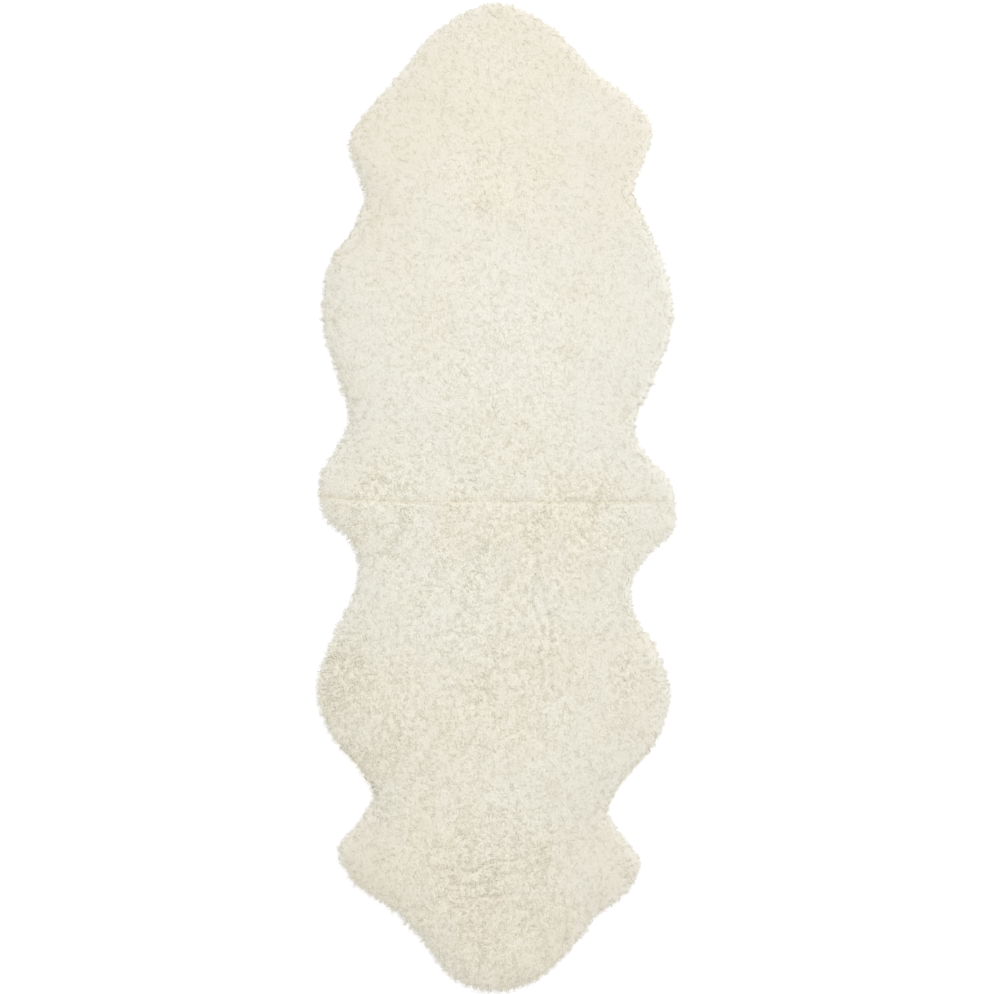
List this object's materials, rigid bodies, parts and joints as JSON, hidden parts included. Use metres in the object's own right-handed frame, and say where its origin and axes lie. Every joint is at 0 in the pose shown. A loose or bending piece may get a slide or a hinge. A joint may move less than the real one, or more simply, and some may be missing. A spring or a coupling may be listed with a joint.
{
  "type": "double sheepskin rug",
  "caption": "Long floor rug of two ivory sheepskins sewn rump to rump, with a waisted natural outline, thick curly wool on top and suede below.",
  "frame": {"origin": "on the floor under the middle of the rug", "axes": "+Z up out of the wool, +Y along the rug to the neck of the longer skin, +X across to the right as seen from above with +Y up"},
  "size_m": [0.657, 1.8028, 0.0495],
  "materials": {
    "suede": "undyed suede, the flesh side of the skins",
    "wool": "dense curly ivory wool, matt with a soft sheen"
  },
  "bodies": {
    "root": {"hide_upper": "suede", "hide_lower": "suede", "fleece_upper": "wool", "fleece_lower": "wool"}
  },
  "joints": []
}
